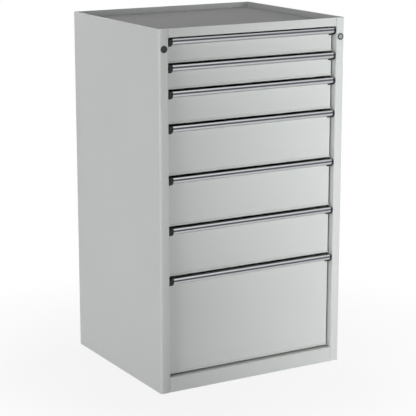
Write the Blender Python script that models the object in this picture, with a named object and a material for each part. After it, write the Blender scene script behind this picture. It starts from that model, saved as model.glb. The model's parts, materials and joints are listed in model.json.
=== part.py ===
"""Industrial drawer cabinet: seven full-width drawers on telescopic slides in a folded steel housing.

The frame is in metres with +Z up. The origin is on the floor, under the middle of the whole cabinet.
The drawers face -Y, and +X is on the right as seen from the front. Inside the script a piece is drawn
in x, u and z: u is the depth behind the plane of the front posts.
"""

import math

import bmesh
import bpy
from mathutils import Matrix, Vector

MM = 0.001

# Clearances
SEAT_GAP = 0.3 * MM  # between two pieces that touch
WELD = 0.3 * MM  # how far welded pieces reach into each other
OVERRUN = 5 * MM  # how far a cutter runs past the face it opens

# Housing
HOUSING_WIDTH = 632 * MM
HOUSING_DEPTH = 552 * MM
SHALLOW_DRAWER = 75 * MM
MEDIUM_DRAWER = 100 * MM
DEEP_DRAWER = 150 * MM
BOTTOM_DRAWER = 300 * MM
TOP_RAIL = 25 * MM
BOTTOM_RAIL = 45.5 * MM
BOTTOM_GAP = 4.5 * MM
SHEET = 1.5 * MM
POST_WIDTH = 30 * MM
POST_RETURN = 8 * MM
REVEAL_DEPTH = 30 * MM
REAR_FLANGE = 25 * MM
CORNER_RADIUS = 8 * MM
BEND_RADIUS = 2.5 * MM
FLOOR_RETURN = 20 * MM
BACK_FLANGE = 12 * MM

# Top tray and its mat
TRAY_LIP = 17.5 * MM  # from the top of the lip down to the mat
MAT_THICKNESS = 3 * MM
MAT_MARGIN = 1 * MM

# Uprights that carry the runners
UPRIGHT_DEPTH = 28 * MM
UPRIGHT_INSET = 2 * MM  # from the edge of the opening out to the upright's web
REAR_SPACE = 30 * MM  # from the back of the housing to the ends of the runners

# Telescopic slides
SLIDE_HEIGHT = 36 * MM
SLIDE_SHEET = 1.8 * MM
SLIDE_RISE = 12 * MM  # from the bottom of the drawer's pitch up to its runner
SLIDE_SPACE = 8 * MM  # from the edge of the opening in to the moving members
SLIDE_WIDTH = 15 * MM
SLIDE_END_GAP = 1.2 * MM
RUNNER_WIDTH = 12 * MM
BRACKET_LENGTH = 20 * MM
BRACKET_DROP = 4 * MM  # from the top and bottom of the runner to its brackets

# Drawer fronts
PANEL_RECESS = 20 * MM
PANEL_SIDE_GAP = 2.5 * MM
PANEL_DEPTH = 14 * MM
PANEL_SHEET = 1.2 * MM
PANEL_RETURN = 15 * MM  # width of the flange turned in behind the panel
PANEL_TOP_DROP = 9.5 * MM
PANEL_BEND = 1.5 * MM
BEAD_HEIGHT = 6 * MM
BEAD_FACE = 3 * MM
BEAD_PROUD = 3.5 * MM

# Drawer trays
TRAY_SPACE = 29 * MM  # from the edge of the opening in to the tray's side
TRAY_SHEET = 1.2 * MM
TRAY_RISE = 8 * MM
TRAY_TOP_DROP = 12 * MM
TRAY_HEM = 6 * MM
TRAY_BACK_GAP = 5 * MM  # from the back of the tray to the end of its runner

# Handles
HANDLE_GAP = 4.5 * MM
HANDLE_HEIGHT = 20 * MM
HANDLE_WALL = 2.2 * MM
HANDLE_SIDE_GAP = 1.5 * MM
LIP_SETBACK = 2.5 * MM
LIP_FALL = 3 * MM
GROOVE_DROP = 0.9 * MM  # from the nose down to the label groove
GROOVE_HEIGHT = 5.2 * MM
GROOVE_DEPTH = 2 * MM
GROOVE_SILL = 0.9 * MM
CAP_WIDTH = 13 * MM
CAP_FOOT = 4 * MM
CAP_RADIUS = 6 * MM

# Lock and blanking plug
LOCK_DROP = 57 * MM
LOCK_FACE_RADIUS = 10.5 * MM
LOCK_BODY_RADIUS = 8.7 * MM
LOCK_PROUD = 2.5 * MM
LOCK_BODY_LENGTH = 26 * MM
LOCK_NUT_RADIUS = 10.6 * MM
LOCK_NUT_THICKNESS = 4 * MM
LOCK_RIM = 0.8 * MM
PLUG_RADIUS = 5.4 * MM
PLUG_SINK = 0.7 * MM
KEYWAY_WIDTH = 1.6 * MM
KEYWAY_HEIGHT = 7 * MM
KEYWAY_DEPTH = 6 * MM
CRANK_GAP = 1.5 * MM  # from the back of the post to the crank
CRANK_THICKNESS = 3 * MM
CRANK_RADIUS = 6.5 * MM
CRANK_PIN_RADIUS = 2 * MM
CRANK_RIM = 1 * MM
LOCK_TURN = math.radians(90)
BLANK_RING = 1.2 * MM
BLANK_STEP = 0.8 * MM
BLANK_LENGTH = 9 * MM
BLANK_WALL = 1.4 * MM
BLANK_SNAP = 0.5 * MM

# Locking bar and the drawers' catches
BAR_THICKNESS = 2 * MM
BAR_WIDTH = 22 * MM
BAR_INSET = 3 * MM  # from the edge of the opening out to the bar
BAR_SPACE = 4 * MM  # from the crank back to the bar
BAR_MARGIN = 4 * MM  # how far the bar runs past the last catch and round the crank pin
CATCH_RISE = 50 * MM
CATCH_HEIGHT = 12 * MM
CATCH_THICKNESS = 2 * MM
CATCH_SIDE_GAP = 1 * MM
CATCH_PLAY = 3 * MM
GUIDE_RADIUS = 2.4 * MM
GUIDE_HEAD_RADIUS = 4.5 * MM
GUIDE_HEAD = 1.5 * MM
GUIDE_PLACE_SHARES = (0.12, 0.8)

# Derived places
DRAWER_PITCHES = [SHALLOW_DRAWER] * 2 + [MEDIUM_DRAWER] + [DEEP_DRAWER] * 3 + [BOTTOM_DRAWER]
HALF_WIDTH = HOUSING_WIDTH / 2
HOUSING_HEIGHT = BOTTOM_RAIL + BOTTOM_GAP + sum(DRAWER_PITCHES) + TOP_RAIL
FRONT_Y = (LOCK_PROUD - HOUSING_DEPTH) / 2
HALF_OPENING = HALF_WIDTH - POST_WIDTH
INSIDE_HALF_WIDTH = HALF_WIDTH - SHEET - SEAT_GAP
INSIDE_FRONT = SHEET + SEAT_GAP
INSIDE_BACK = HOUSING_DEPTH - SHEET - SEAT_GAP
TRAY_TOP_FACE = HOUSING_HEIGHT - TRAY_LIP - MAT_THICKNESS - SEAT_GAP
TRAY_UNDERSIDE = TRAY_TOP_FACE - SHEET

CRANK_FRONT = REVEAL_DEPTH + CRANK_GAP
CRANK_BACK = CRANK_FRONT + CRANK_THICKNESS
BAR_FRONT = CRANK_BACK + BAR_SPACE
BAR_BACK = BAR_FRONT + BAR_THICKNESS
UPRIGHT_FRONT = BAR_BACK + SEAT_GAP
UPRIGHT_WEB_X = HALF_OPENING + UPRIGHT_INSET
RUNNER_FRONT = UPRIGHT_FRONT + SEAT_GAP
RUNNER_BACK = HOUSING_DEPTH - REAR_SPACE
REAR_UPRIGHT_FRONT = RUNNER_BACK - UPRIGHT_DEPTH - SLIDE_SHEET

SLIDE_STEP = SLIDE_SHEET + SEAT_GAP
SLIDE_X = HALF_OPENING - SLIDE_SPACE
RUNNER_X = SLIDE_X + SLIDE_STEP
MEMBER_X = SLIDE_X - SLIDE_STEP
SLIDE_CENTRE = SLIDE_RISE + SLIDE_HEIGHT / 2
SLIDE_FRONT = RUNNER_FRONT
SLIDE_BACK = RUNNER_BACK - SLIDE_SHEET - SLIDE_END_GAP

PANEL_HALF_WIDTH = HALF_OPENING - PANEL_SIDE_GAP
PANEL_BACK = PANEL_RECESS + PANEL_DEPTH
TRAY_HALF_WIDTH = HALF_OPENING - TRAY_SPACE
TRAY_FRONT = PANEL_BACK + SEAT_GAP
TRAY_BACK = RUNNER_BACK - TRAY_BACK_GAP

HANDLE_BACK = PANEL_RECESS - SEAT_GAP
HANDLE_HALF_WIDTH = HALF_OPENING - HANDLE_SIDE_GAP - CAP_WIDTH - SEAT_GAP
NOSE_Z = -HANDLE_GAP - LIP_FALL
GROOVE_TOP = NOSE_Z - GROOVE_DROP
GROOVE_BOTTOM = GROOVE_TOP - GROOVE_HEIGHT
BELLY_TOP = GROOVE_BOTTOM - GROOVE_SILL
BELLY_HEIGHT = HANDLE_HEIGHT + HANDLE_GAP + BELLY_TOP

LOCK_X = HALF_WIDTH - POST_WIDTH / 2 - SHEET / 2
LOCK_Z = HOUSING_HEIGHT - LOCK_DROP
LOCK_THROW = 2 * CRANK_RADIUS * math.sin(LOCK_TURN / 2)
BAR_X = HALF_OPENING + BAR_INSET
GUIDE_X = BAR_X + (BAR_WIDTH - LOCK_THROW) / 2

# Smoothness
CORNER_STEPS = 5
BEND_STEPS = 2
BELLY_STEPS = 6
ROUND_STEPS = 28
PIN_STEPS = 14
CAP_STEPS = 3
NUT_SIDES = 6


def srgb(red, green, blue):
    """Linear colour of an sRGB colour given as 0 to 255."""
    return tuple(((value / 255 + 0.055) / 1.055) ** 2.4 for value in (red, green, blue)) + (1.0,)


def make_material(name, colour, roughness, metallic):
    material = bpy.data.materials.new(name)
    material.use_nodes = True
    shader = material.node_tree.nodes["Principled BSDF"]
    shader.inputs["Base Color"].default_value = colour
    shader.inputs["Roughness"].default_value = roughness
    shader.inputs["Metallic"].default_value = metallic
    material.diffuse_color = colour
    return material


def drawer_floors():
    """Height of the bottom of each drawer's pitch, from the top drawer down."""
    heights = []
    level = HOUSING_HEIGHT - TOP_RAIL
    for pitch in DRAWER_PITCHES:
        level -= pitch
        heights.append(level)
    return heights


# Outlines


def fillet(before, corner, after, radius, steps):
    """Points of the arc that rounds one corner of a path."""
    corner = Vector(corner)
    back = (Vector(before) - corner).normalized()
    ahead = (Vector(after) - corner).normalized()
    half_angle = back.angle(ahead) / 2
    centre = corner + (back + ahead).normalized() * radius / math.sin(half_angle)
    start = corner + back * radius / math.tan(half_angle) - centre
    turn = math.pi - 2 * half_angle
    if back.cross(ahead) > 0:
        turn = -turn
    points = []
    for step in range(steps + 1):
        points.append(tuple(centre + Matrix.Rotation(turn * step / steps, 2) @ start))
    return points


def rounded_path(points, radii, steps):
    """An open path with its inner corners rounded. radii and steps hold one value for each corner."""
    path = [points[0]]
    corners = zip(points, points[1:], points[2:], radii, steps)
    for before, corner, after, radius, count in corners:
        path += fillet(before, corner, after, radius, count)
    return path + [points[-1]]


def offset_path(path, distance):
    """The path moved to its left by the distance, with mitred corners."""
    normals = []
    for start, end in zip(path, path[1:]):
        along = (Vector(end) - Vector(start)).normalized()
        normals.append(Vector((-along.y, along.x)))
    moved = []
    for index, point in enumerate(path):
        first = normals[max(index - 1, 0)]
        second = normals[min(index, len(normals) - 1)]
        mitre = (first + second) / (1 + first.dot(second))
        moved.append(tuple(Vector(point) + mitre * distance))
    return moved


def sheet_outline(path, thickness):
    """Closed outline of a folded sheet whose outer face is the path, with its metal on the left."""
    return path + offset_path(path, thickness)[::-1]


def rounded_rectangle(half_width, front, back, front_radius, back_radius):
    corners = [(half_width, front), (half_width, back), (-half_width, back), (-half_width, front)]
    radii = [front_radius, back_radius, back_radius, front_radius]
    outline = []
    for index, corner in enumerate(corners):
        after = corners[(index + 1) % len(corners)]
        outline += fillet(corners[index - 1], corner, after, radii[index], CORNER_STEPS)
    return outline


def slot_outline(centre, half_length, radius, upright):
    """A slot with round ends. half_length runs from its centre to the centre of each end."""
    outline = []
    for end in (1, -1):
        for step in range(PIN_STEPS // 2 + 1):
            angle = math.pi * step / (PIN_STEPS // 2) - math.pi / 2
            along = end * (half_length + radius * math.cos(angle))
            across = end * radius * math.sin(angle)
            if upright:
                outline.append((centre[0] - across, centre[1] + along))
            else:
                outline.append((centre[0] + along, centre[1] + across))
    return outline


# Solids


def make_object(name, shape):
    """Turns a bmesh into an object with its faces pointing out."""
    bmesh.ops.recalc_face_normals(shape, faces=shape.faces)
    mesh = bpy.data.meshes.new(name)
    shape.to_mesh(mesh)
    shape.free()
    made = bpy.data.objects.new(name, mesh)
    bpy.context.scene.collection.objects.link(made)
    return made


AXES = {
    "x": lambda first, second, along: (along, first, second),
    "u": lambda first, second, along: (first, along, second),
    "z": lambda first, second, along: (first, second, along),
}


def extrusion(name, outline, axis, low, high, side=1):
    """Closed prism of an outline, from low to high along one axis. side -1 mirrors it in x."""
    shape = bmesh.new()
    place = AXES[axis]
    points = [Vector(place(first, second, low)) for first, second in outline]
    face = shape.faces.new([shape.verts.new(point) for point in points])
    raised = bmesh.ops.extrude_face_region(shape, geom=[face])
    moved = [item for item in raised["geom"] if isinstance(item, bmesh.types.BMVert)]
    bmesh.ops.translate(shape, verts=moved, vec=Vector(place(0, 0, high - low)))
    bmesh.ops.scale(shape, verts=shape.verts, vec=Vector((side, 1, 1)))
    return make_object(name, shape)


def block(name, low, high, side=1):
    """Box between two corners in x, u and z."""
    outline = [(low[0], low[1]), (high[0], low[1]), (high[0], high[1]), (low[0], high[1])]
    return extrusion(name, outline, "z", low[2], high[2], side)


def turned(name, profile, steps, centre=(0, 0), start=0):
    """Solid turned about an axis along u, from a closed profile of radius and u, begun at an angle."""
    shape = bmesh.new()
    verts = [shape.verts.new((radius, depth, 0)) for radius, depth in profile]
    edges = [shape.edges.new((start, end)) for start, end in zip(verts, verts[1:] + verts[:1])]
    edges = [edge for edge in edges if any(abs(vert.co.x) > 0 for vert in edge.verts)]
    origin = (0, 0, 0)
    bmesh.ops.spin(
        shape,
        geom=verts + edges,
        cent=origin,
        axis=(0, 1, 0),
        angle=math.tau,
        steps=steps,
        use_merge=True,
    )
    bmesh.ops.remove_doubles(shape, verts=shape.verts, dist=SEAT_GAP / 100)
    loose = [edge for edge in shape.edges if not edge.link_faces]
    bmesh.ops.delete(shape, geom=loose, context="EDGES")
    bmesh.ops.rotate(shape, verts=shape.verts, cent=origin, matrix=Matrix.Rotation(start, 3, "Y"))
    bmesh.ops.translate(shape, verts=shape.verts, vec=(centre[0], 0, centre[1]))
    return make_object(name, shape)


def loft(name, sections):
    """Closed solid through sections with equal numbers of points."""
    shape = bmesh.new()
    rings = [[shape.verts.new(point) for point in section] for section in sections]
    for first, second in zip(rings, rings[1:]):
        for index in range(len(first)):
            following = (index + 1) % len(first)
            shape.faces.new((first[index], first[following], second[following], second[index]))
    shape.faces.new(rings[0])
    shape.faces.new(rings[-1])
    return make_object(name, shape)


def combine(target, others, operation):
    """Applies one Boolean of the target with each of the others, which are then removed."""
    for other in others:
        modifier = target.modifiers.new(operation.title(), "BOOLEAN")
        modifier.operation = operation
        modifier.object = other
    graph = bpy.context.evaluated_depsgraph_get()
    plain = target.data
    target.data = bpy.data.meshes.new_from_object(target.evaluated_get(graph))
    target.modifiers.clear()
    bpy.data.meshes.remove(plain)
    for other in others:
        mesh = other.data
        bpy.data.objects.remove(other)
        bpy.data.meshes.remove(mesh)
    return target


def join(target, *others):
    return combine(target, others, "UNION")


def cut(target, *others):
    return combine(target, others, "DIFFERENCE")


def finish(made, material, parent):
    """Gives a piece its material and shading, and hangs it on its empty."""
    made.data.materials.clear()
    made.data.materials.append(material)
    made.data.shade_smooth()
    made.data.set_sharp_from_angle(angle=math.radians(30))
    made.parent = parent
    return made


def copy_of(original, name, parent, height=0):
    """Another object on the same mesh."""
    made = bpy.data.objects.new(name, original.data)
    bpy.context.scene.collection.objects.link(made)
    made.parent = parent
    made.location.z = height
    return made


def add_empty(name, location):
    empty = bpy.data.objects.new(name, None)
    empty.location = location
    bpy.context.scene.collection.objects.link(empty)
    return empty


# Housing


def upright(name, front, side):
    """Channel that stands behind a post, open towards the side panel it is welded to."""
    outer = HALF_WIDTH - SHEET + WELD
    back = front + UPRIGHT_DEPTH
    path = [(outer, back), (UPRIGHT_WEB_X, back), (UPRIGHT_WEB_X, front), (outer, front)]
    outline = sheet_outline(path, SHEET)
    return extrusion(name, outline, "z", BOTTOM_RAIL + SEAT_GAP, TRAY_UNDERSIDE - SEAT_GAP, side)


def bracket(name, front, floor, side):
    """Folded bracket that hangs a runner on an upright."""
    inner = RUNNER_X - WELD
    outer = UPRIGHT_WEB_X + WELD
    back = front + BRACKET_LENGTH
    outline = sheet_outline([(outer, back), (inner, back), (inner, front), (outer, front)], SHEET)
    low = floor + SLIDE_RISE + BRACKET_DROP
    return extrusion(name, outline, "z", low, low + SLIDE_HEIGHT - 2 * BRACKET_DROP, side)


def runner(name, floor, side):
    """Fixed channel of one slide on its two brackets, closed at its back as the drawer's stop."""
    low = floor + SLIDE_RISE
    inner = RUNNER_X - RUNNER_WIDTH
    bar = block(name, (inner, RUNNER_FRONT, low), (RUNNER_X, RUNNER_BACK, low + SLIDE_HEIGHT), side)
    pocket_low = (inner - OVERRUN, RUNNER_FRONT - OVERRUN, low + SLIDE_SHEET)
    pocket_high = (RUNNER_X - SLIDE_SHEET, RUNNER_BACK - SLIDE_SHEET, low + SLIDE_HEIGHT - SLIDE_SHEET)
    cut(bar, block("pocket", pocket_low, pocket_high, side))
    inset = (UPRIGHT_DEPTH - BRACKET_LENGTH) / 2
    front_bracket = bracket("front_bracket", UPRIGHT_FRONT + inset, floor, side)
    return join(bar, front_bracket, bracket("rear_bracket", REAR_UPRIGHT_FRONT + inset, floor, side))


def crank_angle_place():
    """Where the crank pin stands at rest, from the lock's axis in x and z."""
    angle = LOCK_TURN / 2
    return CRANK_RADIUS * math.sin(angle), -CRANK_RADIUS * math.cos(angle)


def bar_span():
    """Lowest and highest point of the locking bar, past the last catches and the crank pin."""
    floors = drawer_floors()
    top = max(floors[0] + CATCH_RISE + CATCH_HEIGHT, LOCK_Z)
    return floors[-1] + CATCH_RISE - BAR_MARGIN, top + BAR_MARGIN


def guide_heights():
    """Heights of the pins that guide the bar."""
    low, high = bar_span()
    return [low + (high - low) * share for share in GUIDE_PLACE_SHARES]


def guide_pin(name, height):
    """Headed pin on the front upright that holds the locking bar."""
    head_back = BAR_FRONT - SEAT_GAP
    head_front = head_back - GUIDE_HEAD
    profile = [
        (0, head_front),
        (GUIDE_HEAD_RADIUS, head_front),
        (GUIDE_HEAD_RADIUS, head_back),
        (GUIDE_RADIUS, head_back),
        (GUIDE_RADIUS, UPRIGHT_FRONT + WELD),
        (0, UPRIGHT_FRONT + WELD),
    ]
    return turned(name, profile, PIN_STEPS, (GUIDE_X, height))


def side_panel(name, side):
    """Side wall folded round its front post, with the uprights and runners welded inside."""
    corners = [
        (HALF_OPENING + POST_RETURN, REVEAL_DEPTH),
        (HALF_OPENING, REVEAL_DEPTH),
        (HALF_OPENING, 0),
        (HALF_WIDTH, 0),
        (HALF_WIDTH, HOUSING_DEPTH),
        (HALF_WIDTH - REAR_FLANGE, HOUSING_DEPTH),
    ]
    radii = [BEND_RADIUS, BEND_RADIUS, CORNER_RADIUS, BEND_RADIUS]
    steps = [BEND_STEPS, BEND_STEPS, CORNER_STEPS, BEND_STEPS]
    outline = sheet_outline(rounded_path(corners, radii, steps), SHEET)
    wall = extrusion(name, outline, "z", 0, HOUSING_HEIGHT, side)
    inside = HALF_OPENING - OVERRUN
    clear_low = (inside, SHEET, -OVERRUN)
    clear_high = (HALF_WIDTH - CORNER_RADIUS, REVEAL_DEPTH + OVERRUN, BOTTOM_RAIL + SEAT_GAP)
    top_low = (inside, SHEET, TRAY_UNDERSIDE - SEAT_GAP)
    top_high = (HALF_WIDTH - CORNER_RADIUS, REVEAL_DEPTH + OVERRUN, HOUSING_HEIGHT + OVERRUN)
    hole_radius = LOCK_BODY_RADIUS + SEAT_GAP
    hole = [(0, -OVERRUN), (hole_radius, -OVERRUN), (hole_radius, OVERRUN), (0, OVERRUN)]
    cut(wall, turned("fitting_hole", hole, ROUND_STEPS, (side * LOCK_X, LOCK_Z)))
    cut(wall, block("bottom_notch", clear_low, clear_high, side), block("top_notch", top_low, top_high, side))
    welded = [upright("front_upright", UPRIGHT_FRONT, side)]
    welded.append(upright("rear_upright", REAR_UPRIGHT_FRONT, side))
    for number, floor in enumerate(drawer_floors()):
        welded.append(runner(f"runner_{number}", floor, side))
    if side > 0:
        for number, height in enumerate(guide_heights()):
            welded.append(guide_pin(f"guide_{number}", height))
    return join(wall, *welded)


def inner_plan(inset):
    """Plan that fits inside the side panels, less an inset all round."""
    clear = SHEET + SEAT_GAP + inset
    front_radius = max(CORNER_RADIUS - clear, BEND_RADIUS / 2)
    return rounded_rectangle(
        INSIDE_HALF_WIDTH - inset, INSIDE_FRONT + inset, INSIDE_BACK - inset, front_radius, BEND_RADIUS / 2
    )


def front_rail(name, low, high):
    """Rail between the posts, flush with them."""
    half = HALF_OPENING - SEAT_GAP
    return block(name, (-half, 0, low), (half, INSIDE_FRONT + SHEET, high))


def top_tray(name):
    """Recessed top with its lip all round and the rail over the drawers."""
    tray = extrusion(name, inner_plan(0), "z", TRAY_UNDERSIDE, HOUSING_HEIGHT)
    rail = front_rail("rail", HOUSING_HEIGHT - TOP_RAIL, HOUSING_HEIGHT)
    pocket = extrusion("pocket", inner_plan(SHEET), "z", TRAY_TOP_FACE, HOUSING_HEIGHT + OVERRUN)
    return cut(join(tray, rail), pocket)


def top_mat(name):
    outline = inner_plan(SHEET + MAT_MARGIN)
    return extrusion(name, outline, "z", TRAY_TOP_FACE + SEAT_GAP, TRAY_TOP_FACE + SEAT_GAP + MAT_THICKNESS)


def floor_panel(name):
    """Floor folded down all round, with its edges turned in to stand on and its rail at the front."""
    panel = extrusion(name, inner_plan(0), "z", 0, BOTTOM_RAIL)
    rail = front_rail("rail", 0, BOTTOM_RAIL)
    pocket = extrusion("pocket", inner_plan(SHEET), "z", SHEET, BOTTOM_RAIL - SHEET)
    mouth = extrusion("mouth", inner_plan(FLOOR_RETURN), "z", -OVERRUN, SHEET + OVERRUN)
    return cut(join(panel, rail), pocket, mouth)


def back_panel(name):
    """Back wall with its four edges folded forward."""
    low = BOTTOM_RAIL + SEAT_GAP
    high = TRAY_UNDERSIDE - SEAT_GAP
    front = INSIDE_BACK - BACK_FLANGE
    edge = INSIDE_HALF_WIDTH - BEND_RADIUS
    panel = block(name, (-edge, front, low), (edge, INSIDE_BACK, high))
    inner = edge - SHEET
    pocket_low = (-inner, front - OVERRUN, low + SHEET)
    return cut(panel, block("pocket", pocket_low, (inner, INSIDE_BACK - SHEET, high - SHEET)))


# Lock


def lock_housing(name):
    """Lock barrel with its face ring and the nut that clamps it to the post."""
    face = -SEAT_GAP
    nut_front = SHEET + SEAT_GAP
    bore = PLUG_RADIUS + SEAT_GAP
    profile = [
        (bore, -LOCK_PROUD),
        (LOCK_FACE_RADIUS - LOCK_RIM, -LOCK_PROUD),
        (LOCK_FACE_RADIUS, -LOCK_PROUD + LOCK_RIM),
        (LOCK_FACE_RADIUS, face),
        (LOCK_BODY_RADIUS, face),
        (LOCK_BODY_RADIUS, LOCK_BODY_LENGTH),
        (bore, LOCK_BODY_LENGTH),
    ]
    housing = turned(name, profile, ROUND_STEPS)
    middle = (bore + LOCK_BODY_RADIUS) / 2
    nut_back = nut_front + LOCK_NUT_THICKNESS
    nut_profile = [
        (middle, nut_front),
        (LOCK_NUT_RADIUS, nut_front),
        (LOCK_NUT_RADIUS, nut_back),
        (middle, nut_back),
    ]
    return join(housing, turned("nut", nut_profile, NUT_SIDES, start=math.pi / NUT_SIDES))


def lock_plug(name):
    """Turning plug with its keyway, and the crank whose pin pushes the locking bar."""
    rim = CRANK_RADIUS + CRANK_PIN_RADIUS + CRANK_RIM
    front = PLUG_SINK - LOCK_PROUD
    profile = [
        (0, front),
        (PLUG_RADIUS, front),
        (PLUG_RADIUS, CRANK_FRONT),
        (rim, CRANK_FRONT),
        (rim, CRANK_BACK),
        (0, CRANK_BACK),
    ]
    plug = turned(name, profile, ROUND_STEPS)
    foot = CRANK_BACK - WELD
    pin = [(0, foot), (CRANK_PIN_RADIUS, foot), (CRANK_PIN_RADIUS, BAR_BACK), (0, BAR_BACK)]
    join(plug, turned("pin", pin, PIN_STEPS, crank_angle_place()))
    low = (-KEYWAY_WIDTH / 2, front - OVERRUN, -KEYWAY_HEIGHT / 2)
    high = (KEYWAY_WIDTH / 2, front + KEYWAY_DEPTH, KEYWAY_HEIGHT / 2)
    return cut(plug, block("keyway", low, high))


def locking_bar(name):
    """Flat bar that the crank pushes sideways on its guide pins, in front of the drawers' catches."""
    low, high = bar_span()
    bar = block(name, (BAR_X, BAR_FRONT, low), (BAR_X + BAR_WIDTH, BAR_BACK, high))
    pin_x, pin_z = crank_angle_place()
    swing = (CRANK_RADIUS + pin_z) / 2
    crank_centre = (LOCK_X + pin_x, LOCK_Z + pin_z - swing)
    outlines = [slot_outline(crank_centre, swing + SEAT_GAP, CRANK_PIN_RADIUS + SEAT_GAP, True)]
    for height in guide_heights():
        centre = (GUIDE_X + LOCK_THROW / 2, height)
        outlines.append(slot_outline(centre, LOCK_THROW / 2 + SEAT_GAP, GUIDE_RADIUS + SEAT_GAP, False))
    low_side = BAR_FRONT - OVERRUN
    return cut(bar, *[extrusion("slot", outline, "u", low_side, BAR_BACK + OVERRUN) for outline in outlines])


def blank_plug(name):
    """Dished plastic plug that snaps into the spare lock hole."""
    face = -SEAT_GAP
    spigot = LOCK_BODY_RADIUS - SEAT_GAP
    barb = SHEET + SEAT_GAP
    profile = [
        (0, -LOCK_PROUD + BLANK_STEP),
        (LOCK_FACE_RADIUS / 2, -LOCK_PROUD + BLANK_STEP),
        (LOCK_FACE_RADIUS / 2 + BLANK_RING, -LOCK_PROUD),
        (LOCK_FACE_RADIUS - BLANK_RING, -LOCK_PROUD),
        (LOCK_FACE_RADIUS, -LOCK_PROUD + BLANK_RING),
        (LOCK_FACE_RADIUS, face),
        (spigot, face),
        (spigot, barb),
        (spigot + BLANK_SNAP, barb + BLANK_SNAP),
        (spigot - BLANK_SNAP, BLANK_LENGTH),
        (spigot - BLANK_SNAP - BLANK_WALL, BLANK_LENGTH),
        (spigot - BLANK_SNAP - BLANK_WALL, 0),
        (0, 0),
    ]
    return turned(name, profile, ROUND_STEPS, (-LOCK_X, LOCK_Z))


# Drawers


def drawer_front(name, pitch):
    """Front panel folded back and in all round, with a bead along its bottom edge."""
    top = pitch - PANEL_TOP_DROP
    bead = PANEL_RECESS - BEAD_PROUD
    corners = [
        (PANEL_BACK, top),
        (PANEL_RECESS, top),
        (PANEL_RECESS, BEAD_HEIGHT),
        (bead, BEAD_FACE),
        (bead, 0),
        (PANEL_BACK, 0),
    ]
    count = len(corners)
    path = rounded_path(corners, [PANEL_BEND] * count, [BEND_STEPS] * count)
    inner = offset_path(path, PANEL_SHEET)
    behind = PANEL_BACK - PANEL_SHEET
    inner = [(behind, inner[0][1])] + inner[1:-1] + [(behind, inner[-1][1])]
    half = PANEL_HALF_WIDTH
    panel = extrusion(name, path, "x", -half, half)
    hollow = extrusion("hollow", inner, "x", PANEL_SHEET - half, half - PANEL_SHEET)
    mouth_half = half - PANEL_RETURN
    mouth_high = (mouth_half, PANEL_BACK + OVERRUN, top - PANEL_RETURN)
    mouth = block("mouth", (-mouth_half, PANEL_RECESS + PANEL_DEPTH / 2, PANEL_RETURN), mouth_high)
    return cut(panel, hollow, mouth)


def belly(back, front, height):
    """Lower curve of the handle, from the label groove round to the panel."""
    points = []
    for step in range(BELLY_STEPS + 1):
        angle = math.pi / 2 * step / BELLY_STEPS
        points.append((back - (back - front) * math.cos(angle), BELLY_TOP - height * math.sin(angle)))
    return points


def handle(name):
    """Full-width grip: a gutter open at the top, with a label groove along its face.

    Heights are below the top of the drawer's pitch.
    """
    lip_back = LIP_SETBACK + HANDLE_WALL
    wall_back = GROOVE_DEPTH + HANDLE_WALL
    leg_front = HANDLE_BACK - HANDLE_WALL
    leg_top = -PANEL_TOP_DROP
    outline = [
        (lip_back, -HANDLE_GAP),
        (LIP_SETBACK, -HANDLE_GAP),
        (0, NOSE_Z),
        (0, GROOVE_TOP),
        (GROOVE_DEPTH, GROOVE_TOP),
        (GROOVE_DEPTH, GROOVE_BOTTOM),
        (0, GROOVE_BOTTOM),
    ]
    outline += belly(HANDLE_BACK, 0, BELLY_HEIGHT)
    outline += [(HANDLE_BACK, leg_top), (leg_front, leg_top)]
    outline += belly(leg_front, wall_back, BELLY_HEIGHT - HANDLE_WALL)[::-1]
    outline += [(wall_back, NOSE_Z - HANDLE_WALL / 2), (lip_back, -HANDLE_GAP - HANDLE_WALL)]
    return extrusion(name, outline, "x", -HANDLE_HALF_WIDTH, HANDLE_HALF_WIDTH)


def end_cap(name, side):
    """Plastic end of the handle, with its outer top corner rounded and a foot below the grip."""
    outline = [(HANDLE_BACK, -HANDLE_GAP), (LIP_SETBACK, -HANDLE_GAP), (0, NOSE_Z)]
    outline += belly(HANDLE_BACK, 0, BELLY_HEIGHT + CAP_FOOT)
    inner = HANDLE_HALF_WIDTH + SEAT_GAP
    outer = inner + CAP_WIDTH
    places = [(inner, 0)]
    for step in range(CAP_STEPS + 1):
        angle = math.pi / 2 * step / CAP_STEPS
        out = outer - CAP_RADIUS * (1 - math.sin(angle))
        places.append((out, CAP_RADIUS * (1 - math.cos(angle))))
    sections = []
    for x, fall in places:
        top = -HANDLE_GAP - fall
        sections.append([(side * x, depth, min(height, top)) for depth, height in outline])
    return loft(name, sections)


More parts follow.
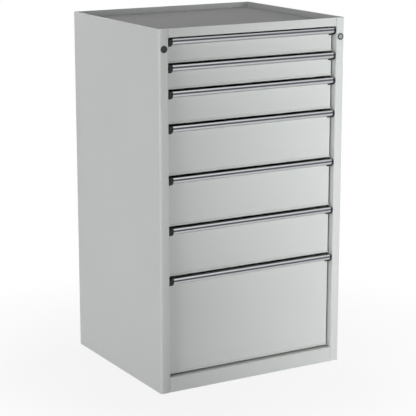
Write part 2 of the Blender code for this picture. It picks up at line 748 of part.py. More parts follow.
def drawer_tray(name, pitch):
    """Open tray with its top edges turned in, the inner members of its slides and the lock catch."""
    top = pitch - TRAY_TOP_DROP
    half = TRAY_HALF_WIDTH
    tray = block(name, (-half, TRAY_FRONT, TRAY_RISE), (half, TRAY_BACK, top))
    inner = half - TRAY_SHEET
    floor = TRAY_RISE + TRAY_SHEET
    pocket_high = (inner, TRAY_BACK - TRAY_SHEET, top - TRAY_SHEET)
    pocket = block("pocket", (-inner, TRAY_FRONT + TRAY_SHEET, floor), pocket_high)
    mouth_half = half - TRAY_HEM
    mouth_high = (mouth_half, TRAY_BACK - TRAY_HEM, top + OVERRUN)
    mouth = block("mouth", (-mouth_half, TRAY_FRONT + TRAY_HEM, floor), mouth_high)
    cut(tray, join(pocket, mouth))
    member_height = SLIDE_HEIGHT - 4 * SLIDE_STEP
    low = SLIDE_CENTRE - member_height / 2
    high = low + member_height
    added = []
    for side in (1, -1):
        path = [(half - WELD, low), (MEMBER_X, low), (MEMBER_X, high), (half - WELD, high)]
        outline = sheet_outline(path, SLIDE_SHEET)
        added.append(extrusion("member", outline, "u", SLIDE_FRONT, TRAY_BACK, side))
    catch_front = BAR_BACK + CATCH_PLAY
    catch_low = (half - WELD, catch_front, CATCH_RISE)
    catch_tip = HALF_OPENING - CATCH_SIDE_GAP
    catch_high = (catch_tip, catch_front + CATCH_THICKNESS, CATCH_RISE + CATCH_HEIGHT)
    added.append(block("catch", catch_low, catch_high))
    return join(tray, *added)


def slide(name, side):
    """Middle member of a telescopic slide, between the runner and the drawer's own member."""
    height = SLIDE_HEIGHT - 2 * SLIDE_STEP
    low = SLIDE_CENTRE - height / 2
    high = low + height
    tip = SLIDE_X - SLIDE_WIDTH
    path = [(tip, low), (SLIDE_X, low), (SLIDE_X, high), (tip, high)]
    return extrusion(name, sheet_outline(path, SLIDE_SHEET), "u", SLIDE_FRONT, SLIDE_BACK, side)


# Assembly


def clear_scene():
    for found in list(bpy.data.objects):
        bpy.data.objects.remove(found, do_unlink=True)


def build_housing(paint, rubber):
    housing = add_empty("housing", (0, FRONT_Y, 0))
    finish(side_panel("left_side_panel", -1), paint, housing)
    finish(side_panel("right_side_panel", 1), paint, housing)
    finish(back_panel("back_panel"), paint, housing)
    finish(floor_panel("floor_panel"), paint, housing)
    finish(top_tray("top_tray"), paint, housing)
    finish(top_mat("top_mat"), rubber, housing)
    return housing


def build_lock(housing, chrome, zinc, plastic):
    axis = add_empty("lock_axis", (LOCK_X, 0, LOCK_Z))
    axis.parent = housing
    finish(lock_housing("lock_housing"), chrome, axis)
    finish(lock_plug("lock_plug"), chrome, axis)
    finish(locking_bar("locking_bar"), zinc, housing)
    finish(blank_plug("blank_plug"), plastic, housing)


def build_drawers(paint, aluminium, plastic, zinc):
    """The seven drawers, from the top down. Pieces of one size share their meshes."""
    grip = None
    panels = {}
    trays = {}
    for number, (floor, pitch) in enumerate(zip(drawer_floors(), DRAWER_PITCHES), start=1):
        drawer = add_empty(f"drawer_{number}", (0, FRONT_Y, floor))
        slides = add_empty(f"drawer_{number}_slides", (0, FRONT_Y, floor))
        if grip is None:
            grip = finish(handle(f"drawer_{number}_handle"), aluminium, drawer)
            left_cap = finish(end_cap(f"drawer_{number}_cap_left", -1), plastic, drawer)
            right_cap = finish(end_cap(f"drawer_{number}_cap_right", 1), plastic, drawer)
            left_slide = finish(slide(f"drawer_{number}_slide_left", -1), zinc, slides)
            right_slide = finish(slide(f"drawer_{number}_slide_right", 1), zinc, slides)
            for piece in (grip, left_cap, right_cap):
                piece.location.z = pitch
        else:
            copy_of(grip, f"drawer_{number}_handle", drawer, pitch)
            copy_of(left_cap, f"drawer_{number}_cap_left", drawer, pitch)
            copy_of(right_cap, f"drawer_{number}_cap_right", drawer, pitch)
            copy_of(left_slide, f"drawer_{number}_slide_left", slides)
            copy_of(right_slide, f"drawer_{number}_slide_right", slides)
        if pitch in panels:
            copy_of(panels[pitch], f"drawer_{number}_front", drawer)
            copy_of(trays[pitch], f"drawer_{number}_tray", drawer)
        else:
            panels[pitch] = finish(drawer_front(f"drawer_{number}_front", pitch), paint, drawer)
            trays[pitch] = finish(drawer_tray(f"drawer_{number}_tray", pitch), paint, drawer)


def main():
    clear_scene()
    paint = make_material("painted_steel", srgb(200, 203, 201), 0.45, 0.0)
    aluminium = make_material("anodised_aluminium", srgb(178, 179, 182), 0.35, 1.0)
    plastic = make_material("black_plastic", srgb(32, 33, 34), 0.45, 0.0)
    zinc = make_material("zinc_plated_steel", srgb(176, 178, 178), 0.4, 1.0)
    chrome = make_material("lock_chrome", srgb(205, 206, 208), 0.15, 1.0)
    rubber = make_material("grey_rubber", srgb(131, 131, 131), 0.8, 0.0)
    housing = build_housing(paint, rubber)
    build_lock(housing, chrome, zinc, plastic)
    build_drawers(paint, aluminium, plastic, zinc)


main()
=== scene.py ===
"""Industrial drawer cabinet: materials, fine detail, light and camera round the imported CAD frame.

The frame is in metres, with +Z up and the drawers facing -Y. The pieces that are added take their
places from the frame's own boxes, and from the part's named sizes where no box gives them.
"""
import json
import math

import bmesh
import bpy
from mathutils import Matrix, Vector


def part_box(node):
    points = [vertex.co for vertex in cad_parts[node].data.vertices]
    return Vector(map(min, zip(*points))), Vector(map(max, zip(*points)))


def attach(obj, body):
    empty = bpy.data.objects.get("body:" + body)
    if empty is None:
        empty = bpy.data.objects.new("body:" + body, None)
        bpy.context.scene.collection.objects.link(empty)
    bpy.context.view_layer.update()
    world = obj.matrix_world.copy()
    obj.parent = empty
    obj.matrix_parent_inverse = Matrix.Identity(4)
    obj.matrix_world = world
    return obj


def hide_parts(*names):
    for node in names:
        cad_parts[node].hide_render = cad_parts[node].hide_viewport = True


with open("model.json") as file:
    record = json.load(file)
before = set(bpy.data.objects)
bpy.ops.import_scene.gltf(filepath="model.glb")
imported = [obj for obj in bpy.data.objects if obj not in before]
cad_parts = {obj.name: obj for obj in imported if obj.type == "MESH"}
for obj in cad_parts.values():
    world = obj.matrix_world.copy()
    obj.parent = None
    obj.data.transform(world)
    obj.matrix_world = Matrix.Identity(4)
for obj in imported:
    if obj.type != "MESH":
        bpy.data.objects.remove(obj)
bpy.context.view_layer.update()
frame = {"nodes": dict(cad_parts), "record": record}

POST_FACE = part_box("left_side_panel")[0][1]  # the plane of the front posts
MM = 0.001
DRAWERS = range(1, 8)
SIDES = ((-1, "left"), (1, "right"))

# Camera, fitted to the visible corners of the housing: angles in degrees, lens and sensor in mm
CAMERA_PLACE = (-2.3409, -4.0294, 1.5697)
CAMERA_PITCH = 13.27
CAMERA_TURN = -30.18
CAMERA_LENS = 132.5
SENSOR = 36

# Lamps: place, target, width, height, power in watts and spread in degrees
LAMPS = {
    "front_strip": ((0.88, -4.8, 0.55), (0.88, -0.27, 0.55), 0.3, 1.9, 18.4, 42),
    "left_fill": ((-4.3, -1, 0.9), (-0.32, 0, 0.5), 2.4, 1.6, 90.5, 180),
    "right_fill": ((4.4, 0.9, 1.8), (0.32, 0, 0.6), 2.6, 2.2, 80, 180),
    "rear_fill": ((0.6, 4.4, 1.8), (0, 0.28, 0.6), 2.6, 2.2, 80, 180),
    "top_fill": ((0.25, 0.1, 3.4), (0.25, 0.1, 1), 1.6, 1.6, 5.6, 70),
}
UNMIRRORED = ("front_strip",)  # lamps that light the object but don't show in its metal
WORLD_LIGHT = 0.12

# Floor: how far it is plain white where it is seen, near the object and away from it, and the
# distances from the middle of the object between which that changes
FLOOR_SIZE = 40
FLOOR_TONE = 0.8
FLOOR_GLOW = (0.84, 1.0)
FLOOR_REACH = (0.45, 1.1)

# Colours of the finishes, in sRGB of 0 to 255
LIGHT_GREY_PAINT = (200, 203, 201)
ALUMINIUM = (199, 201, 203)
ZINC = (176, 178, 178)
CHROME = (186, 187, 189)
DARK_CHROME = (104, 106, 109)
BLACK = (30, 31, 32)
DARK_GREY = (52, 54, 55)
# dark grey of the strips in the handle grooves: painted shade of the grooves
GROOVE_SHADE_GREY = (82, 83, 88)
MAT_GREY = (131, 131, 131)
NOISE_RANGE = (0.25, 0.75)  # the part of 0 to 1 that nearly all of a noise lies in

# Softened edges: the width of the bevel, by material slot
EDGE_WIDTHS = {
    "painted_steel": 0.35 * MM,
    "anodised_aluminium": 0.3 * MM,
    "black_plastic": 0.45 * MM,
    "zinc_plated_steel": 0.3 * MM,
    "lock_chrome": 0.25 * MM,
    "grey_rubber": 0.6 * MM,
}
STRIP_EDGE_WIDTH = 0.12 * MM
ROUNDING_STEPS = 2  # of each softened edge and each bend
SHARP_ANGLE = math.radians(30)  # an edge that turns further is softened and not shaded smooth
FLAT_ANGLE = math.radians(0.5)  # faces that turn less are joined
MERGE_DISTANCE = 0.01 * MM

# Drawer trays
TRAY_HALF_WIDTH = 257 * MM
TRAY_RISE = 8 * MM  # over the floor of the drawer's pitch
TRAY_SHEET = 1.2 * MM
TRAY_HEM = 6 * MM
TRAY_BEND = 1.2 * MM
SLOT_WIDTH = 3 * MM
SLOT_HEIGHT = 28 * MM
SLOT_PITCH = 17 * MM
SLOT_ROW_PITCH = 50 * MM
SLOT_MARGIN = 13 * MM  # from the top and ends of a wall to its first slots

# Slide members on the trays: rise over the floor of the pitch, and reach from the middle
MEMBER_RISE = 16.2 * MM
MEMBER_HEIGHT = 27.6 * MM
MEMBER_REACH = 275.9 * MM
SLIDE_SHEET = 1.8 * MM
SLIDE_BEND = 1.2 * MM
SLIDE_HOLE = (14 * MM, 6 * MM)  # length and height
SLIDE_HOLE_PITCH = 64 * MM

# Catch that the locking bar stands in front of: the place is its tip in X, its front behind the
# posts and its rise over the floor of the pitch
CATCH_PLACE = (285 * MM, 43.5 * MM, 50 * MM)
CATCH_SIZE = (28.3 * MM, 2 * MM, 12 * MM)

# Dark strips in the handles' grooves, painted shade of the grooves: top and bottom under
# the handle's top, face and back behind the handle's front
STRIP_HEIGHTS = (4 * MM, 9 * MM)
STRIP_DEPTHS = (0.4 * MM, 1.9 * MM)
STRIP_SIDE_GAP = 0.4 * MM

# Drawer fronts: how far each end moves in from its post, and how much of the end that moves
FRONT_TRIM = 1.8 * MM
FRONT_END = 2 * MM

# Right-hand ends of the handles: the grip runs on to a cap that is thinner than the CAD's
GRIP_EXTRA = 7 * MM
CAP_SETBACK = 2.5 * MM  # with the fall, the slant of the cap's front top corner
CAP_FALL = 3 * MM
CAP_STEPS = 4
BELLY_DROP = 10 * MM  # from the top of the grip to the start of its belly
BELLY_HEIGHT = 10 * MM
BELLY_STEPS = 6
FOOT_DROP = 4 * MM  # from the grip down to the underside of the foot
FOOT_GAP = 0.3 * MM
FOOT_START = 3  # the step of the belly at which the foot begins


# Materials


def linear(colour):
    """Linear colour of an sRGB colour given as 0 to 255."""
    return tuple(((value / 255 + 0.055) / 1.055) ** 2.4 for value in colour) + (1.0,)


class Finish:
    """A material whose colour, roughness and relief come from nodes.

    A pattern's scale is its number of features to the metre, roughly.
    """

    def __init__(self, name, colour, roughness, metallic=0.0, specular=0.5):
        self.material = bpy.data.materials.new(name)
        self.material.use_nodes = True
        self.tree = self.material.node_tree
        self.shader = self.tree.nodes["Principled BSDF"]
        self.colour = linear(colour)
        self.roughness = roughness
        self.normal = None
        self.shader.inputs["Base Color"].default_value = self.colour
        self.shader.inputs["Roughness"].default_value = roughness
        self.shader.inputs["Metallic"].default_value = metallic
        self.shader.inputs["Specular IOR Level"].default_value = specular
        self.place = self.add("ShaderNodeTexCoord").outputs["Object"]

    def add(self, kind, **settings):
        node = self.tree.nodes.new(kind)
        for name, value in settings.items():
            setattr(node, name, value)
        return node

    def link(self, source, target):
        self.tree.links.new(source, target)

    def stretched(self, scale):
        """The surface place scaled per axis, for a pattern that runs along one axis."""
        node = self.add("ShaderNodeVectorMath", operation="MULTIPLY")
        self.link(self.place, node.inputs[0])
        node.inputs[1].default_value = scale
        return node.outputs["Vector"]

    def noise(self, scale, detail=2.0, place=None):
        node = self.add("ShaderNodeTexNoise")
        self.link(place or self.place, node.inputs["Vector"])
        node.inputs["Scale"].default_value = scale
        node.inputs["Detail"].default_value = detail
        return node.outputs["Fac"]

    def cells(self, scale):
        """A random grey for each cell, for the spangle of zinc."""
        node = self.add("ShaderNodeTexVoronoi")
        self.link(self.place, node.inputs["Vector"])
        node.inputs["Scale"].default_value = scale
        grey = self.add("ShaderNodeSeparateColor")
        self.link(node.outputs["Color"], grey.inputs["Color"])
        return grey.outputs["Red"]

    def ranged(self, pattern, low, high):
        """A pattern with the range of a noise spread over low to high."""
        node = self.add("ShaderNodeMapRange")
        self.link(pattern, node.inputs["Value"])
        for name, ends in (("From", NOISE_RANGE), ("To", (low, high))):
            node.inputs[f"{name} Min"].default_value = ends[0]
            node.inputs[f"{name} Max"].default_value = ends[1]
        return node.outputs["Result"]

    def times(self, first, second):
        node = self.add("ShaderNodeMath", operation="MULTIPLY")
        self.link(first, node.inputs[0])
        self.link(second, node.inputs[1])
        return node.outputs["Value"]

    def tint(self, factor):
        """The colour is the base colour times this factor."""
        node = self.add("ShaderNodeVectorMath", operation="SCALE")
        node.inputs["Vector"].default_value = self.colour[:3]
        self.link(factor, node.inputs["Scale"])
        self.link(node.outputs["Vector"], self.shader.inputs["Base Color"])

    def vary_roughness(self, pattern, spread):
        result = self.ranged(pattern, self.roughness - spread, self.roughness + spread)
        self.link(result, self.shader.inputs["Roughness"])

    def bump(self, pattern, height):
        """Relief of a height in metres, on top of the relief that is there."""
        node = self.add("ShaderNodeBump")
        node.inputs["Strength"].default_value = 1.0
        node.inputs["Distance"].default_value = height
        self.link(pattern, node.inputs["Height"])
        if self.normal is not None:
            self.link(self.normal, node.inputs["Normal"])
        self.normal = node.outputs["Normal"]
        self.link(self.normal, self.shader.inputs["Normal"])


def powder_coat():
    """Satin powder coat: fine orange peel, a slow drift in tone and small changes in gloss."""
    finish = Finish("powder_coat", LIGHT_GREY_PAINT, roughness=0.52)
    drift = finish.ranged(finish.noise(scale=3.5), low=0.985, high=1.012)
    grain = finish.ranged(finish.noise(scale=900), low=0.985, high=1.015)
    finish.tint(finish.times(drift, grain))
    finish.vary_roughness(finish.noise(scale=60), spread=0.04)
    finish.bump(finish.noise(scale=420, detail=1.0), height=0.05 * MM)
    finish.bump(finish.noise(scale=1600, detail=1.0), height=0.012 * MM)
    return finish.material


def anodised_aluminium():
    """Satin anodised extrusion, with drawing lines along its length."""
    finish = Finish("anodised_aluminium", ALUMINIUM, roughness=0.34, metallic=1.0)
    along_x = finish.stretched(scale=(6, 3000, 3000))
    lines = finish.noise(scale=1, detail=3.0, place=along_x)
    finish.tint(finish.ranged(lines, low=0.96, high=1.03))
    finish.vary_roughness(lines, spread=0.05)
    finish.bump(lines, height=0.004 * MM)
    return finish.material


def moulded_plastic(name, colour):
    """Moulded plastic with a fine spark-eroded texture."""
    finish = Finish(name, colour, roughness=0.4, specular=0.25)
    grain = finish.noise(scale=1400)
    finish.tint(finish.ranged(finish.noise(scale=40), low=0.9, high=1.1))
    finish.vary_roughness(grain, spread=0.06)
    finish.bump(grain, height=0.03 * MM)
    return finish.material


def zinc_plate():
    """Zinc-plated steel with a faint spangle and rolling lines."""
    finish = Finish("zinc_plate", ZINC, roughness=0.38, metallic=1.0)
    spangle = finish.ranged(finish.cells(scale=160), low=0.93, high=1.06)
    along_y = finish.stretched(scale=(2500, 12, 2500))
    lines = finish.noise(scale=1, detail=3.0, place=along_y)
    finish.tint(finish.times(spangle, finish.ranged(lines, low=0.96, high=1.04)))
    finish.vary_roughness(finish.noise(scale=90), spread=0.07)
    finish.bump(finish.noise(scale=700), height=0.006 * MM)
    return finish.material


def polished_chrome(name, colour, roughness):
    """Chrome plate with fine marks softened by wear."""
    finish = Finish(name, colour, roughness, metallic=1.0)
    finish.tint(finish.ranged(finish.noise(scale=500), low=0.97, high=1.02))
    finish.vary_roughness(finish.noise(scale=1100), spread=0.05)
    finish.bump(finish.noise(scale=2200), height=0.002 * MM)
    return finish.material


def matt_rubber():
    """Matt rubber with a grainy surface."""
    finish = Finish("matt_rubber", MAT_GREY, roughness=0.78, specular=0.12)
    grain = finish.noise(scale=1300, detail=3.0)
    fine = finish.ranged(grain, low=0.95, high=1.05)
    drift = finish.ranged(finish.noise(scale=9), low=0.98, high=1.02)
    finish.tint(finish.times(fine, drift))
    finish.vary_roughness(finish.noise(scale=30), spread=0.05)
    finish.bump(grain, height=0.05 * MM)
    return finish.material


MATERIALS = {
    "painted_steel": powder_coat(),
    "anodised_aluminium": anodised_aluminium(),
    "black_plastic": moulded_plastic("black_plastic", BLACK),
    "zinc_plated_steel": zinc_plate(),
    "lock_chrome": polished_chrome("polished_chrome", CHROME, roughness=0.16),
    "grey_rubber": matt_rubber(),
}
NODE_MATERIALS = {
    "lock_housing": polished_chrome("dark_chrome", DARK_CHROME, roughness=0.26),
    "blank_plug": moulded_plastic("dark_plastic", DARK_GREY),
}
# dark grey plastic for the strips in the handle grooves: painted shade where the grooves fall in
# shade
GROOVE_SHADE_MATERIAL = moulded_plastic("groove_shade_plastic", GROOVE_SHADE_GREY)


# CAD nodes


def welded_group():
    """Nodes that close up a mesh: its corners are merged and only its sharp edges stay sharp."""
    group = bpy.data.node_groups.new("welded", "GeometryNodeTree")
    group.interface.new_socket("Geometry", in_out="INPUT", socket_type="NodeSocketGeometry")
    group.interface.new_socket("Geometry", in_out="OUTPUT", socket_type="NodeSocketGeometry")
    nodes = group.nodes
    link = group.links.new
    merge = nodes.new("GeometryNodeMergeByDistance")
    merge.inputs["Distance"].default_value = MERGE_DISTANCE
    forget = nodes.new("GeometryNodeRemoveAttribute")
    forget.inputs["Name"].default_value = "custom_normal"
    soft = nodes.new("GeometryNodeSetShadeSmooth")
    soft.inputs["Shade Smooth"].default_value = True
    angle = nodes.new("GeometryNodeInputMeshEdgeAngle")
    sharp = nodes.new("FunctionNodeCompare")
    sharp.operation = "GREATER_THAN"
    sharp.inputs["B"].default_value = SHARP_ANGLE
    crisp = nodes.new("GeometryNodeSetShadeSmooth")
    crisp.domain = "EDGE"
    crisp.inputs["Shade Smooth"].default_value = False
    link(nodes.new("NodeGroupInput").outputs[0], merge.inputs["Geometry"])
    link(merge.outputs["Geometry"], forget.inputs["Geometry"])
    link(forget.outputs["Geometry"], soft.inputs["Geometry"])
    link(angle.outputs["Unsigned Angle"], sharp.inputs["A"])
    link(soft.outputs["Geometry"], crisp.inputs["Geometry"])
    link(sharp.outputs["Result"], crisp.inputs["Selection"])
    link(crisp.outputs["Geometry"], nodes.new("NodeGroupOutput").inputs[0])
    return group


WELD = welded_group()


def soften_edges(piece, width):
    """Bevels the sharp edges."""
    bevel = piece.modifiers.new("edges", "BEVEL")
    bevel.width = width
    bevel.segments = ROUNDING_STEPS
    bevel.limit_method = "ANGLE"
    bevel.angle_limit = SHARP_ANGLE
    bevel.harden_normals = True


def dress_nodes():
    """Gives each CAD node its material and softened edges."""
    for part in frame["record"]["subparts"]:
        node = frame["nodes"][part["node"]]
        slot = part["material_slot"]
        for place in node.material_slots:
            place.material = NODE_MATERIALS.get(part["node"], MATERIALS[slot])
        node.modifiers.new("weld", "NODES").node_group = WELD
        flatten = node.modifiers.new("flatten", "DECIMATE")
        flatten.decimate_type = "DISSOLVE"
        flatten.angle_limit = FLAT_ANGLE
        soften_edges(node, EDGE_WIDTHS[slot])


# New pieces


def corners_of(node):
    """Low and high corner of a CAD node's box."""
    return [Vector(corner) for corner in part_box(node)]


def place_piece(name, shape, slot, body, material=None):
    """An object from a bmesh, riding on a body."""
    mesh = bpy.data.meshes.new(name)
    shape.to_mesh(mesh)
    shape.free()
    mesh.materials.append(material or MATERIALS[slot])
    piece = bpy.data.objects.new(name, mesh)
    bpy.context.scene.collection.objects.link(piece)
    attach(piece, body)
    return piece


def add_piece(name, shape, slot, body, material=None):
    """A piece with its faces turned outward, smooth up to its sharp edges."""
    bmesh.ops.recalc_face_normals(shape, faces=shape.faces)
    piece = place_piece(name, shape, slot, body, material)
    piece.data.shade_smooth()
    piece.data.set_sharp_from_angle(angle=SHARP_ANGLE)
    return piece


def box_shape(low, high):
    """A box between two corners."""
    shape = bmesh.new()
    bmesh.ops.create_cube(shape, size=1)
    low, high = Vector(low), Vector(high)
    bmesh.ops.scale(shape, verts=shape.verts, vec=high - low)
    bmesh.ops.translate(shape, verts=shape.verts, vec=(high + low) / 2)
    return shape


def lines_round_holes(low, high, size, pitch, margin):
    """Grid lines along a wall, centred in its length. Every second cell between them is a hole."""
    count = max(int((high - low - 2 * margin - size) // pitch) + 1, 0)
    start = (low + high - (count - 1) * pitch - size) / 2
    lines = [low]
    for index in range(count):
        lines += [start + index * pitch, start + index * pitch + size]
    return lines + [high]


def lines_round_slots(low, high):
    """Grid lines up a tray wall, whose rows of slots are set out from the top."""
    lines = [high]
    level = high - SLOT_MARGIN - SLOT_HEIGHT
    while level > low + SLOT_MARGIN / 2:
        lines += [level + SLOT_HEIGHT, level]
        level -= SLOT_ROW_PITCH
    lines.append(low)
    return lines[::-1]


def add_wall(shape, columns, rows, place):
    """A flat wall of quads, open at every second cell of both grids. place gives a grid point."""
    for row, (bottom, top) in enumerate(zip(rows, rows[1:])):
        for column, (left, right) in enumerate(zip(columns, columns[1:])):
            if row % 2 and column % 2:
                continue
            corners = [(left, bottom), (right, bottom), (right, top), (left, top)]
            shape.faces.new([shape.verts.new(place(*corner)) for corner in corners])


def merge_corners(shape):
    bmesh.ops.remove_doubles(shape, verts=shape.verts, dist=MERGE_DISTANCE)


def bend(shape, radius):
    """Rounds every fold of a sheet."""
    folds = [edge for edge in shape.edges
             if edge.is_manifold and edge.calc_face_angle() > SHARP_ANGLE]
    bmesh.ops.bevel(
        shape, geom=folds, offset=radius, segments=ROUNDING_STEPS, affect="EDGES", profile=0.5)


def sheet(piece, thickness):
    """Gives a surface the thickness of its sheet, on its inner side, and shades its bends."""
    solid = piece.modifiers.new("sheet", "SOLIDIFY")
    solid.thickness = thickness
    solid.offset = -1
    solid.use_even_offset = True
    piece.modifiers.new("weld", "NODES").node_group = WELD


def level_edges(shape, height):
    """The edges that lie at a height."""
    return [edge for edge in shape.edges
            if all(abs(vert.co.z - height) < MERGE_DISTANCE for vert in edge.verts)]


def tray_shape(low, high):
    """Tray with rows of divider slots in its walls and its top edges turned in."""
    shape = bmesh.new()
    rows = lines_round_slots(low.z, high.z)
    side_lines = lines_round_holes(low.y, high.y, SLOT_WIDTH, SLOT_PITCH, SLOT_MARGIN)
    end_lines = lines_round_holes(low.x, high.x, SLOT_WIDTH, SLOT_PITCH, SLOT_MARGIN)
    for x in (low.x, high.x):
        add_wall(shape, side_lines, rows, lambda along, height: (x, along, height))
    for y in (low.y, high.y):
        add_wall(shape, end_lines, rows, lambda along, height: (along, y, height))
    merge_corners(shape)
    rim = level_edges(shape, high.z)
    foot = level_edges(shape, low.z)
    hem = bmesh.ops.extrude_edge_only(shape, edges=rim)["geom"]
    for vert in [item for item in hem if isinstance(item, bmesh.types.BMVert)]:
        vert.co.x = min(max(vert.co.x, low.x + TRAY_HEM), high.x - TRAY_HEM)
        vert.co.y = min(max(vert.co.y, low.y + TRAY_HEM), high.y - TRAY_HEM)
    bmesh.ops.edgeloop_fill(shape, edges=foot)
    merge_corners(shape)
    bmesh.ops.dissolve_degenerate(shape, edges=shape.edges, dist=MERGE_DISTANCE)
    bmesh.ops.recalc_face_normals(shape, faces=shape.faces)
    bend(shape, TRAY_BEND)
    return shape


def channel_shape(side, web, tip, low, high, front, back):
    """Folded channel along Y on the left (-1) or right (1) side, with oblong holes in its web.

    The web and the tips of the flanges are given by their distance from the middle.
    """
    shape = bmesh.new()
    length, height = SLIDE_HOLE
    columns = lines_round_holes(front, back, length, SLIDE_HOLE_PITCH, SLIDE_HOLE_PITCH / 2)
    middle = (low + high) / 2
    rows = [low, middle - height / 2, middle + height / 2, high]
    add_wall(shape, columns, rows, lambda along, level: (side * web, along, level))
    for level in (low, high):
        add_wall(shape, columns, [web, tip], lambda along, reach: (side * reach, along, level))
    merge_corners(shape)
    bmesh.ops.recalc_face_normals(shape, faces=shape.faces)
    outward = sum(face.normal.x * face.calc_area() for face in shape.faces)
    if outward * side < 0:
        bmesh.ops.reverse_faces(shape, faces=shape.faces)
    bend(shape, SLIDE_BEND)
    return shape


def add_channel(name, body, *place):
    """A slide member, with the faces turned out of the channel as its shape has them."""
    piece = place_piece(name, channel_shape(*place), "zinc_plated_steel", body)
    sheet(piece, SLIDE_SHEET)
    return piece


def add_tray(number):
    """The slotted tray and its slide members, in place of the plain CAD tray."""
    body = f"drawer_{number}"
    low, high = corners_of(f"{body}_tray")
    low.x, high.x = -TRAY_HALF_WIDTH, TRAY_HALF_WIDTH
    tray = add_piece(f"{body}_slotted_tray", tray_shape(low, high), "painted_steel", body)
    sheet(tray, TRAY_SHEET)
    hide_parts(f"{body}_tray")
    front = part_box(f"{body}_slide_left")[0][1]
    bottom = low.z - TRAY_RISE + MEMBER_RISE
    top = bottom + MEMBER_HEIGHT
    for side, word in SIDES:
        place = (side, MEMBER_REACH, TRAY_HALF_WIDTH, bottom, top, front, high.y)
        add_channel(f"{body}_member_{word}", body, *place)


def add_catch(number):
    """The tray's catch, which the plain CAD tray has too."""
    body = f"drawer_{number}"
    tip, depth, rise = CATCH_PLACE
    width, thickness, height = CATCH_SIZE
    front = POST_FACE + depth
    bottom = corners_of(f"{body}_tray")[0].z - TRAY_RISE + rise
    shape = box_shape((tip - width, front, bottom), (tip, front + thickness, bottom + height))
    catch = add_piece(f"{body}_catch", shape, "zinc_plated_steel", body)
    soften_edges(catch, EDGE_WIDTHS["zinc_plated_steel"])


def add_slides(number):
    """Punched middle members in place of the plain ones."""
    body = f"drawer_{number}_slides"
    for side, word in SIDES:
        node = f"drawer_{number}_slide_{word}"
        low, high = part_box(node)
        web = max(abs(low[0]), abs(high[0]))
        tip = min(abs(low[0]), abs(high[0]))
        place = (side, web, tip, low[2], high[2], low[1], high[1])
        piece = add_channel(f"{node}_punched", body, *place)
        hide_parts(node)


def add_groove_shade_strip(number):
    """Dark grey strip in the label groove of a handle: painted shade of the groove."""
    low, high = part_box(f"drawer_{number}_handle")
    top, bottom = STRIP_HEIGHTS
    face, back = STRIP_DEPTHS
    left = (low[0] + STRIP_SIDE_GAP, low[1] + face, high[2] - bottom)
    right = (high[0] + GRIP_EXTRA - STRIP_SIDE_GAP, low[1] + back, high[2] - top)
    shape = box_shape(left, right)
    name = f"drawer_{number}_groove_shade_strip"
    strip = add_piece(name, shape, "black_plastic", f"drawer_{number}", GROOVE_SHADE_MATERIAL)
    soften_edges(strip, STRIP_EDGE_WIDTH)


def add_resized(name, node, slot, body, moved):
    """A copy of a CAD node, in its place and instead of it, with moved(x) for each corner's x."""
    shape = bmesh.new()
    shape.from_mesh(frame["nodes"][node].data)
    start = Vector(min(vert.co[axis] for vert in shape.verts) for axis in range(3))
    bmesh.ops.translate(shape, verts=shape.verts, vec=Vector(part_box(node)[0]) - start)
    merge_corners(shape)
    bmesh.ops.dissolve_limit(
        shape, angle_limit=FLAT_ANGLE, verts=shape.verts, edges=shape.edges)
    for vert in shape.verts:
        vert.co.x = moved(vert.co.x)
    piece = add_piece(name, shape, slot, body)
    soften_edges(piece, EDGE_WIDTHS[slot])
    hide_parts(node)


def add_front(number):
    """The drawer front with a wider gap to both posts."""
    body = f"drawer_{number}"
    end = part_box(f"{body}_front")[1][0] - FRONT_END

    def moved(x):
        return x - math.copysign(FRONT_TRIM, x) if abs(x) > end else x

    add_resized(f"{body}_trimmed_front", f"{body}_front", "painted_steel", body, moved)


def add_grip(number):
    """The handle with its right-hand end further out."""
    body = f"drawer_{number}"

    def moved(x):
        return x + GRIP_EXTRA if x > 0 else x

    add_resized(f"{body}_grip", f"{body}_handle", "anodised_aluminium", body, moved)


def belly(low, high, height):
    """The quarter curve from a cap's front down and back to the drawer's front, as (y, z)."""
    turns = [math.pi / 2 * step / BELLY_STEPS for step in range(BELLY_STEPS + 1)]
    depth = high.y - low.y
    start = high.z - BELLY_DROP
    return [(high.y - depth * math.cos(turn), start - height * math.sin(turn)) for turn in turns]


def loft(sections):
    """A closed body through outlines that have the same number of points."""
    shape = bmesh.new()
    rings = [[shape.verts.new(point) for point in section] for section in sections]
    for ring, following in zip(rings, rings[1:]):
        for index in range(len(ring)):
            corners = (ring[index - 1], ring[index], following[index], following[index - 1])
            shape.faces.new(corners)
    shape.faces.new(rings[0])
    shape.faces.new(rings[-1])
    return shape


def end_wall_shape(low, high, wall):
    """The cap's outline from wall to the outer side, with the outer top corner rounded."""
    outline = [(high.y, high.z), (low.y + CAP_SETBACK, high.z), (low.y, high.z - CAP_FALL)]
    outline += belly(low, high, BELLY_HEIGHT + FOOT_DROP)
    radius = high.x - wall
    sections = []
    for step in range(CAP_STEPS + 1):
        turn = math.pi / 2 * step / CAP_STEPS
        x = wall + radius * math.sin(turn)
        top = high.z - radius * (1 - math.cos(turn))
        sections.append([(x, y, min(z, top)) for y, z in outline])
    return loft(sections)


def foot_shape(low, high, wall):
    """The strip between the cap's outline and the grip's, from the CAD cap's inner side to wall."""
    under = belly(low, high, BELLY_HEIGHT + FOOT_DROP)[FOOT_START:]
    over = belly(low, high, BELLY_HEIGHT + FOOT_GAP)[FOOT_START:]
    outline = under + over[::-1]
    return loft([[(x, y, z) for y, z in outline] for x in (low.x, wall + FOOT_GAP)])


def add_right_cap(number):
    """A thin end wall in place of the CAD's cap, and the foot that reaches under the grip."""
    body = f"drawer_{number}"
    low, high = corners_of(f"{body}_cap_right")
    wall = low.x + GRIP_EXTRA
    cap = add_piece(f"{body}_end_wall", end_wall_shape(low, high, wall), "black_plastic", body)
    soften_edges(cap, EDGE_WIDTHS["black_plastic"])
    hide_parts(f"{body}_cap_right")
    add_piece(f"{body}_cap_foot", foot_shape(low, high, wall), "black_plastic", body)


# Studio


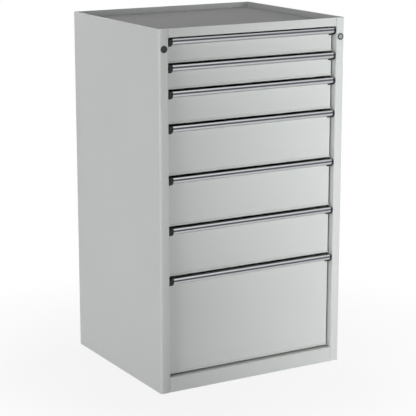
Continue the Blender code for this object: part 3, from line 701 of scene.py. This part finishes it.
def add_camera():
    """The camera at the photo's angle."""
    data = bpy.data.cameras.new("camera")
    data.sensor_width = SENSOR
    data.lens = CAMERA_LENS
    camera = bpy.data.objects.new("camera", data)
    camera.location = CAMERA_PLACE
    camera.rotation_euler = (math.radians(90 - CAMERA_PITCH), 0, math.radians(CAMERA_TURN))
    bpy.context.scene.collection.objects.link(camera)
    bpy.context.scene.camera = camera


def add_lamp(name, place, target, width, height, power, spread):
    """A rectangular lamp that faces its target. Its light fades towards the edge of its spread."""
    data = bpy.data.lights.new(name, "AREA")
    data.shape = "RECTANGLE"
    data.size = width
    data.size_y = height
    data.energy = power
    data.spread = math.radians(spread)
    lamp = bpy.data.objects.new(name, data)
    lamp.location = place
    lamp.rotation_euler = (Vector(target) - Vector(place)).to_track_quat("-Z", "Y").to_euler()
    lamp.visible_glossy = name not in UNMIRRORED
    lamp.visible_camera = False
    bpy.context.scene.collection.objects.link(lamp)


def math_node(tree, operation, first, second):
    node = tree.nodes.new("ShaderNodeMath")
    node.operation = operation
    tree.links.new(first, node.inputs[0])
    tree.links.new(second, node.inputs[1])
    return node.outputs["Value"]


def seen_directly(tree):
    """1 for rays that show the background: from the camera, off metal and through glass."""
    path = tree.nodes.new("ShaderNodeLightPath")
    total = path.outputs["Is Camera Ray"]
    for name in ("Is Glossy Ray", "Is Transmission Ray"):
        total = math_node(tree, "MAXIMUM", total, path.outputs[name])
    return total


def set_world():
    """White where it is seen, and a plain soft light on the object."""
    world = bpy.data.worlds.new("world")
    bpy.context.scene.world = world
    world.use_nodes = True
    tree = world.node_tree
    background = tree.nodes["Background"]
    background.inputs["Color"].default_value = (1, 1, 1, 1)
    strength = tree.nodes.new("ShaderNodeMapRange")
    strength.inputs["To Min"].default_value = WORLD_LIGHT
    strength.inputs["To Max"].default_value = 1.0
    tree.links.new(seen_directly(tree), strength.inputs["Value"])
    tree.links.new(strength.outputs["Result"], background.inputs["Strength"])


def floor_material():
    """Pale and matt, and nearly white where it is seen, so that the soft shadow still shows."""
    material = bpy.data.materials.new("floor")
    material.use_nodes = True
    tree = material.node_tree
    tree.nodes.clear()
    link = tree.links.new
    distance = tree.nodes.new("ShaderNodeVectorMath")
    distance.operation = "LENGTH"
    link(tree.nodes.new("ShaderNodeTexCoord").outputs["Object"], distance.inputs[0])
    fade = tree.nodes.new("ShaderNodeMapRange")
    fade.interpolation_type = "SMOOTHSTEP"
    for name, ends in (("From", FLOOR_REACH), ("To", FLOOR_GLOW)):
        fade.inputs[f"{name} Min"].default_value = ends[0]
        fade.inputs[f"{name} Max"].default_value = ends[1]
    link(distance.outputs["Value"], fade.inputs["Value"])
    matt = tree.nodes.new("ShaderNodeBsdfDiffuse")
    matt.inputs["Color"].default_value = (FLOOR_TONE, FLOOR_TONE, FLOOR_TONE, 1)
    glow = tree.nodes.new("ShaderNodeEmission")
    mix = tree.nodes.new("ShaderNodeMixShader")
    share = math_node(tree, "MULTIPLY", seen_directly(tree), fade.outputs["Result"])
    link(share, mix.inputs["Fac"])
    link(matt.outputs["BSDF"], mix.inputs[1])
    link(glow.outputs["Emission"], mix.inputs[2])
    link(mix.outputs["Shader"], tree.nodes.new("ShaderNodeOutputMaterial").inputs["Surface"])
    return material


def add_floor():
    """A plain pale floor, which is no part of the object."""
    mesh = bpy.data.meshes.new("floor")
    half = FLOOR_SIZE / 2
    corners = [(-half, -half, 0), (half, -half, 0), (half, half, 0), (-half, half, 0)]
    mesh.from_pydata(corners, [], [(0, 1, 2, 3)])
    mesh.materials.append(floor_material())
    floor = bpy.data.objects.new("floor", mesh)
    bpy.context.scene.collection.objects.link(floor)


def build_studio():
    add_camera()
    set_world()
    add_floor()
    for name, settings in LAMPS.items():
        add_lamp(name, *settings)
    bpy.context.scene.view_settings.view_transform = "Standard"


dress_nodes()
for drawer in DRAWERS:
    add_tray(drawer)
    add_catch(drawer)
    add_slides(drawer)
    add_groove_shade_strip(drawer)
    add_front(drawer)
    add_grip(drawer)
    add_right_cap(drawer)
build_studio()
